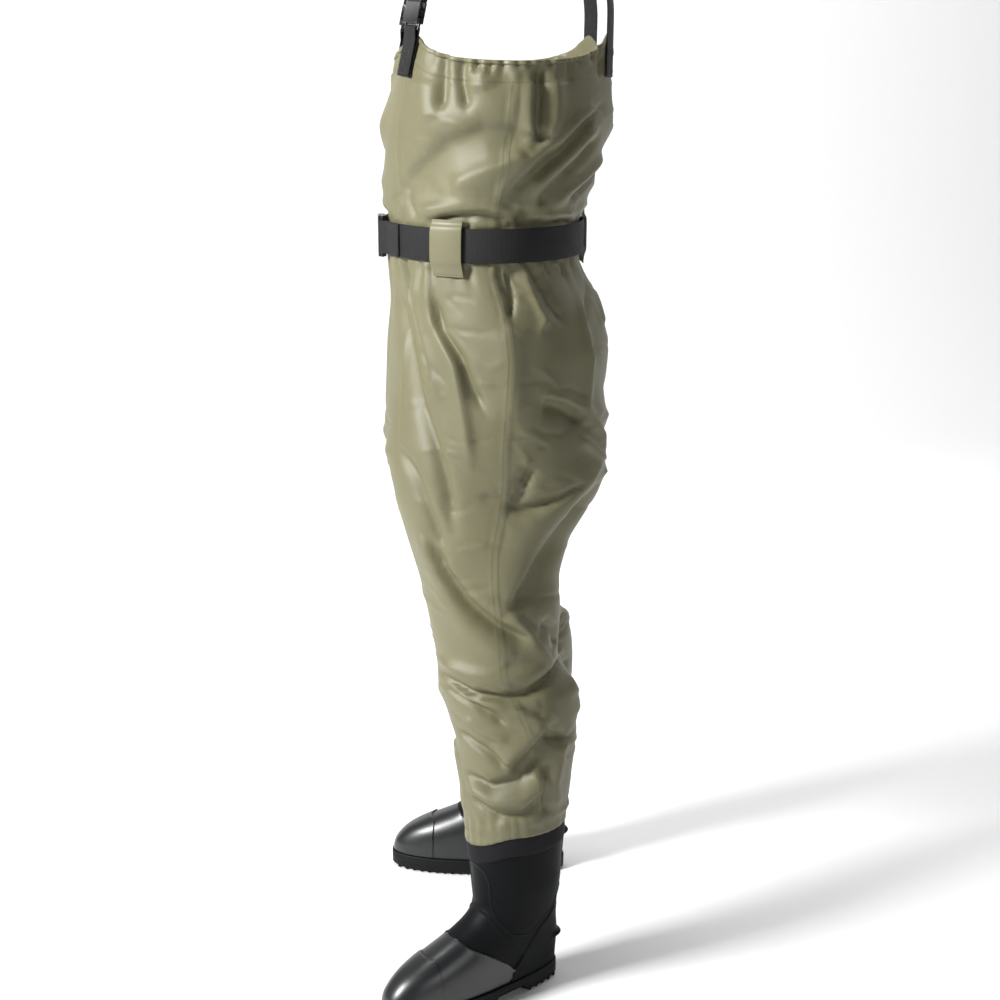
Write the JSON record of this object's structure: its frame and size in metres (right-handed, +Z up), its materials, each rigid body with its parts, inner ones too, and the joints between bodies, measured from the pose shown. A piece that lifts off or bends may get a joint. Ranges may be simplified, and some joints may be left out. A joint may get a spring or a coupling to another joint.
{
  "type": "chest waders",
  "caption": "Chest-high waders of coated cloth with bonded rubber boots, a buckled waist belt and adjustable shoulder straps, for wading while fishing.",
  "frame": {"origin": "on the floor under the middle of the whole object's box", "axes": "+Z up, -Y the way the wearer faces, +X the wearer's left"},
  "size_m": [0.5618, 0.3492, 1.5136],
  "materials": {
    "coated_cloth": "soft satin coating",
    "lining_cloth": "matte",
    "webbing": "woven",
    "elastic": "woven",
    "plastic": "moulded satin",
    "boot_rubber": "glossy to satin",
    "sole_rubber": "matte",
    "band_rubber": "matte",
    "insole_felt": "matte"
  },
  "bodies": {
    "garment": {"left_front_panel": "coated_cloth", "left_back_panel": "coated_cloth", "left_knee_cloth": "coated_cloth", "left_belt_loop": "coated_cloth", "left_seam_tape": "lining_cloth", "left_strap_front_tab": "webbing", "left_strap_webbing": "webbing", "left_strap_buckle_socket": "plastic", "left_strap_buckle_plug": "plastic", "right_front_panel": "coated_cloth", "right_back_panel": "coated_cloth", "right_knee_cloth": "coated_cloth", "right_belt_loop": "coated_cloth", "right_seam_tape": "lining_cloth", "right_strap_front_tab": "webbing", "right_strap_webbing": "webbing", "right_strap_buckle_socket": "plastic", "right_strap_buckle_plug": "plastic", "back_belt_loop": "coated_cloth", "hem_facing": "lining_cloth", "hem_elastic": "elastic", "belt_webbing": "webbing", "belt_buckle_socket": "plastic", "belt_buckle_plug": "plastic"},
    "left_shin": {"left_shin_front_panel": "coated_cloth", "left_shin_back_panel": "coated_cloth", "left_boot_shell": "boot_rubber", "left_boot_outsole": "sole_rubber", "left_boot_toe_cap": "boot_rubber", "left_boot_heel_counter": "boot_rubber", "left_boot_insole": "insole_felt", "left_boot_band": "band_rubber"},
    "left_strap_inner_arm": {"left_strap_buckle_inner_arm": "plastic"},
    "left_strap_outer_arm": {"left_strap_buckle_outer_arm": "plastic"},
    "left_strap_adjuster": {"left_strap_adjuster": "plastic"},
    "right_shin": {"right_shin_front_panel": "coated_cloth", "right_shin_back_panel": "coated_cloth", "right_boot_shell": "boot_rubber", "right_boot_outsole": "sole_rubber", "right_boot_toe_cap": "boot_rubber", "right_boot_heel_counter": "boot_rubber", "right_boot_insole": "insole_felt", "right_boot_band": "band_rubber"},
    "right_strap_inner_arm": {"right_strap_buckle_inner_arm": "plastic"},
    "right_strap_outer_arm": {"right_strap_buckle_outer_arm": "plastic"},
    "right_strap_adjuster": {"right_strap_adjuster": "plastic"},
    "belt_upper_arm": {"belt_buckle_upper_arm": "plastic"},
    "belt_lower_arm": {"belt_buckle_lower_arm": "plastic"},
    "belt_keeper": {"belt_keeper": "webbing"}
  },
  "joints": [
    {"name": "left_knee_bend", "type": "hinge", "parent": "garment", "child": "left_shin", "pos_m": [0.12297, 0.00904, 0.47], "axis": [1, 0, 0], "range_deg": [0, 45], "deforming": ["left_knee_cloth"]},
    {"name": "right_knee_bend", "type": "hinge", "parent": "garment", "child": "right_shin", "pos_m": [-0.17399, 0.03574, 0.47], "axis": [1, 0, 0], "range_deg": [0, 45], "deforming": ["right_knee_cloth"]},
    {"name": "belt_upper_arm_press", "type": "hinge", "parent": "garment", "child": "belt_upper_arm", "pos_m": [-0.02451, -0.14819, 1.09112], "axis": [0, 1, 0], "range_deg": [0, 10], "stiffness_Nm_per_rad": 1},
    {"name": "belt_lower_arm_press", "type": "hinge", "parent": "garment", "child": "belt_lower_arm", "pos_m": [-0.02451, -0.14819, 1.05888], "axis": [0, -1, 0], "range_deg": [0, 10], "stiffness_Nm_per_rad": 1},
    {"name": "left_strap_inner_arm_press", "type": "hinge", "parent": "garment", "child": "left_strap_inner_arm", "pos_m": [0.05603, -0.10391, 1.38552], "axis": [0.3432, -0.9162, 0.2068], "range_deg": [0, 10], "stiffness_Nm_per_rad": 1},
    {"name": "left_strap_outer_arm_press", "type": "hinge", "parent": "garment", "child": "left_strap_outer_arm", "pos_m": [0.08223, -0.09441, 1.38415], "axis": [-0.3432, 0.9162, -0.2068], "range_deg": [0, 10], "stiffness_Nm_per_rad": 1},
    {"name": "right_strap_inner_arm_press", "type": "hinge", "parent": "garment", "child": "right_strap_inner_arm", "pos_m": [-0.10705, -0.10391, 1.38552], "axis": [0.3432, 0.9162, -0.2068], "range_deg": [0, 10], "stiffness_Nm_per_rad": 1},
    {"name": "right_strap_outer_arm_press", "type": "hinge", "parent": "garment", "child": "right_strap_outer_arm", "pos_m": [-0.13325, -0.09441, 1.38415], "axis": [-0.3432, -0.9162, 0.2068], "range_deg": [0, 10], "stiffness_Nm_per_rad": 1},
    {"name": "left_strap_adjuster_slide", "type": "slide", "parent": "garment", "child": "left_strap_adjuster", "axis": [-0.0255, 0.211, 0.9771], "range_m": [0, 0.02]},
    {"name": "right_strap_adjuster_slide", "type": "slide", "parent": "garment", "child": "right_strap_adjuster", "axis": [0.0255, 0.211, 0.9771], "range_m": [0, 0.02]},
    {"name": "belt_keeper_slide", "type": "slide", "parent": "garment", "child": "belt_keeper", "axis": [-0.8821, 0.4711, 0], "range_m": [-0.006, 0.006]}
  ]
}
